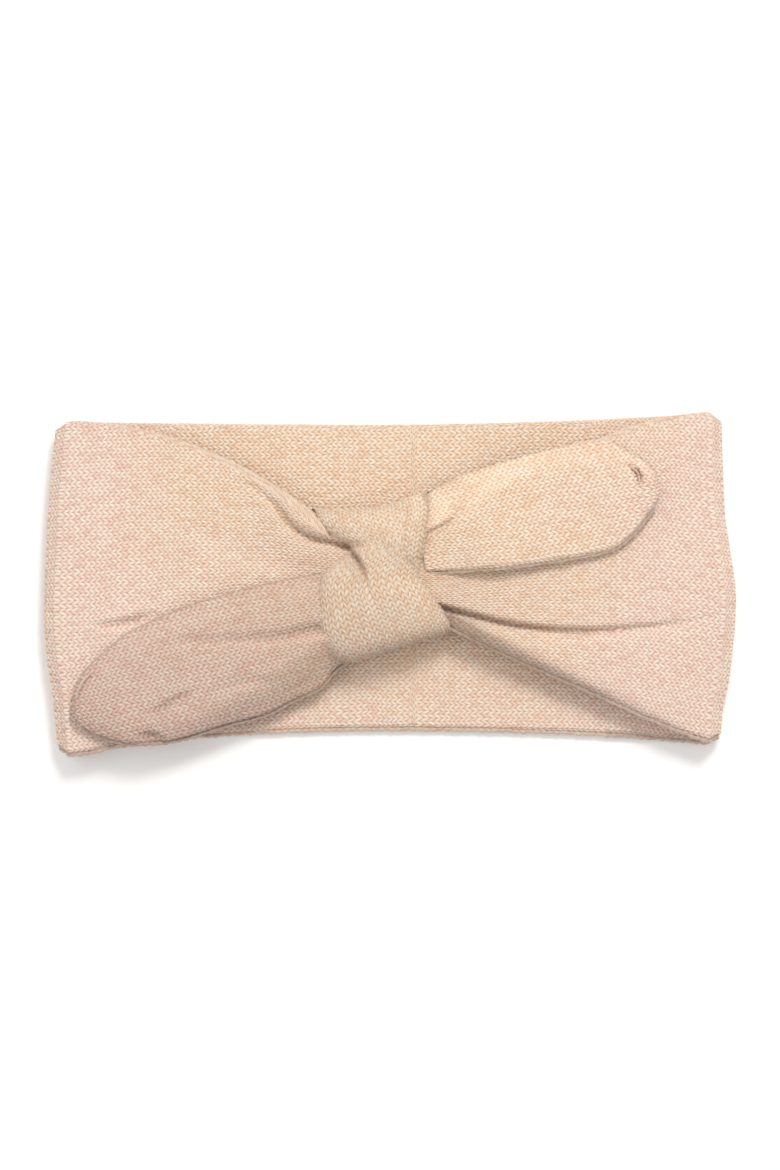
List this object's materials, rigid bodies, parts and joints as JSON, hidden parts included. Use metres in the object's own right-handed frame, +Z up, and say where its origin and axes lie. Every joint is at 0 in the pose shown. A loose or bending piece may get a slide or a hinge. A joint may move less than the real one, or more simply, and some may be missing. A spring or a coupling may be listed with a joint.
{
  "type": "spa headband",
  "caption": "Wide soft knitted headband, a double-ply loop drawn in at the front by a tied knot with two loose rounded tails, lying flat.",
  "frame": {"origin": "centre of the band's outline, on the surface it lies on", "axes": "+X along the band towards the side of the upper tail, +Y across the band towards its upper edge, +Z up through the front layer and the knot"},
  "size_m": [0.231, 0.1149, 0.0255],
  "materials": {
    "band_knit": "matte brushed knit",
    "tie_knit": "matte brushed knit",
    "seam_yarn": "matte yarn"
  },
  "bodies": {
    "back_center": {"back_panel_center": "band_knit", "back_seam": "seam_yarn", "lower_seam_back_center": "seam_yarn"},
    "back_left": {"back_panel_left": "band_knit", "lower_seam_back_left": "seam_yarn"},
    "back_right": {"back_panel_right": "band_knit", "lower_seam_back_right": "seam_yarn"},
    "front_left": {"front_panel_left": "band_knit", "lower_seam_front_left": "seam_yarn"},
    "front_right": {"front_panel_right": "band_knit", "lower_seam_front_right": "seam_yarn"},
    "knot": {"front_gather": "band_knit", "knot_wrap_front": "tie_knit", "knot_side_fold": "tie_knit", "knot_wrap_back": "tie_knit", "knot_tack_left": "seam_yarn", "knot_tack_right": "seam_yarn"},
    "tail_left": {"tail_left": "tie_knit", "tail_left_edge_seam": "seam_yarn", "tail_left_end_stitch": "seam_yarn"},
    "tail_right": {"tail_right": "tie_knit", "tail_right_edge_seam": "seam_yarn", "tail_right_end_stitch": "seam_yarn"},
    "right_root": {"front_root_right": "band_knit"}
  },
  "joints": [
    {"name": "loop_open", "type": "hinge", "parent": "back_center", "child": "back_left", "pos_m": [-0.02, 0, 0.0032], "axis": [0, 1, 0], "range_deg": [0, 50]},
    {"name": "loop_open_right", "type": "hinge", "parent": "back_center", "child": "back_right", "pos_m": [0.02, 0, 0.0032], "axis": [0, -1, 0], "range_deg": [0, 50]},
    {"name": "fold_left", "type": "hinge", "parent": "back_left", "child": "front_left", "pos_m": [-0.1155, 0, 0.0057], "axis": [0, -1, 0], "range_deg": [0, 100]},
    {"name": "fold_right", "type": "hinge", "parent": "back_right", "child": "front_right", "pos_m": [0.1155, 0, 0.0057], "axis": [0, 1, 0], "range_deg": [0, 100]},
    {"name": "gather_left", "type": "hinge", "parent": "front_left", "child": "knot", "pos_m": [-0.02, 0, 0.0082], "axis": [0, 1, 0], "range_deg": [0, 50]},
    {"name": "gather_right", "type": "hinge", "parent": "knot", "child": "right_root", "pos_m": [0.02, 0, 0.0082], "axis": [0, 1, 0], "range_deg": [0, 50]},
    {"name": "tail_left_lift", "type": "hinge", "parent": "front_left", "child": "tail_left", "pos_m": [-0.026, -0.0185, 0.02085], "axis": [-0.225, 0.9744, 0], "range_deg": [0, 80]},
    {"name": "tail_right_lift", "type": "hinge", "parent": "right_root", "child": "tail_right", "pos_m": [0.0234, 0.0196, 0.02107], "axis": [0.1736, -0.9848, 0], "range_deg": [0, 80]}
  ],
  "couplings": [
    {"joint": "loop_open_right", "follows": "loop_open", "ratio": 1},
    {"joint": "fold_left", "follows": "loop_open", "ratio": 2},
    {"joint": "fold_right", "follows": "loop_open", "ratio": 2},
    {"joint": "gather_left", "follows": "loop_open", "ratio": 1},
    {"joint": "gather_right", "follows": "loop_open", "ratio": 1}
  ]
}
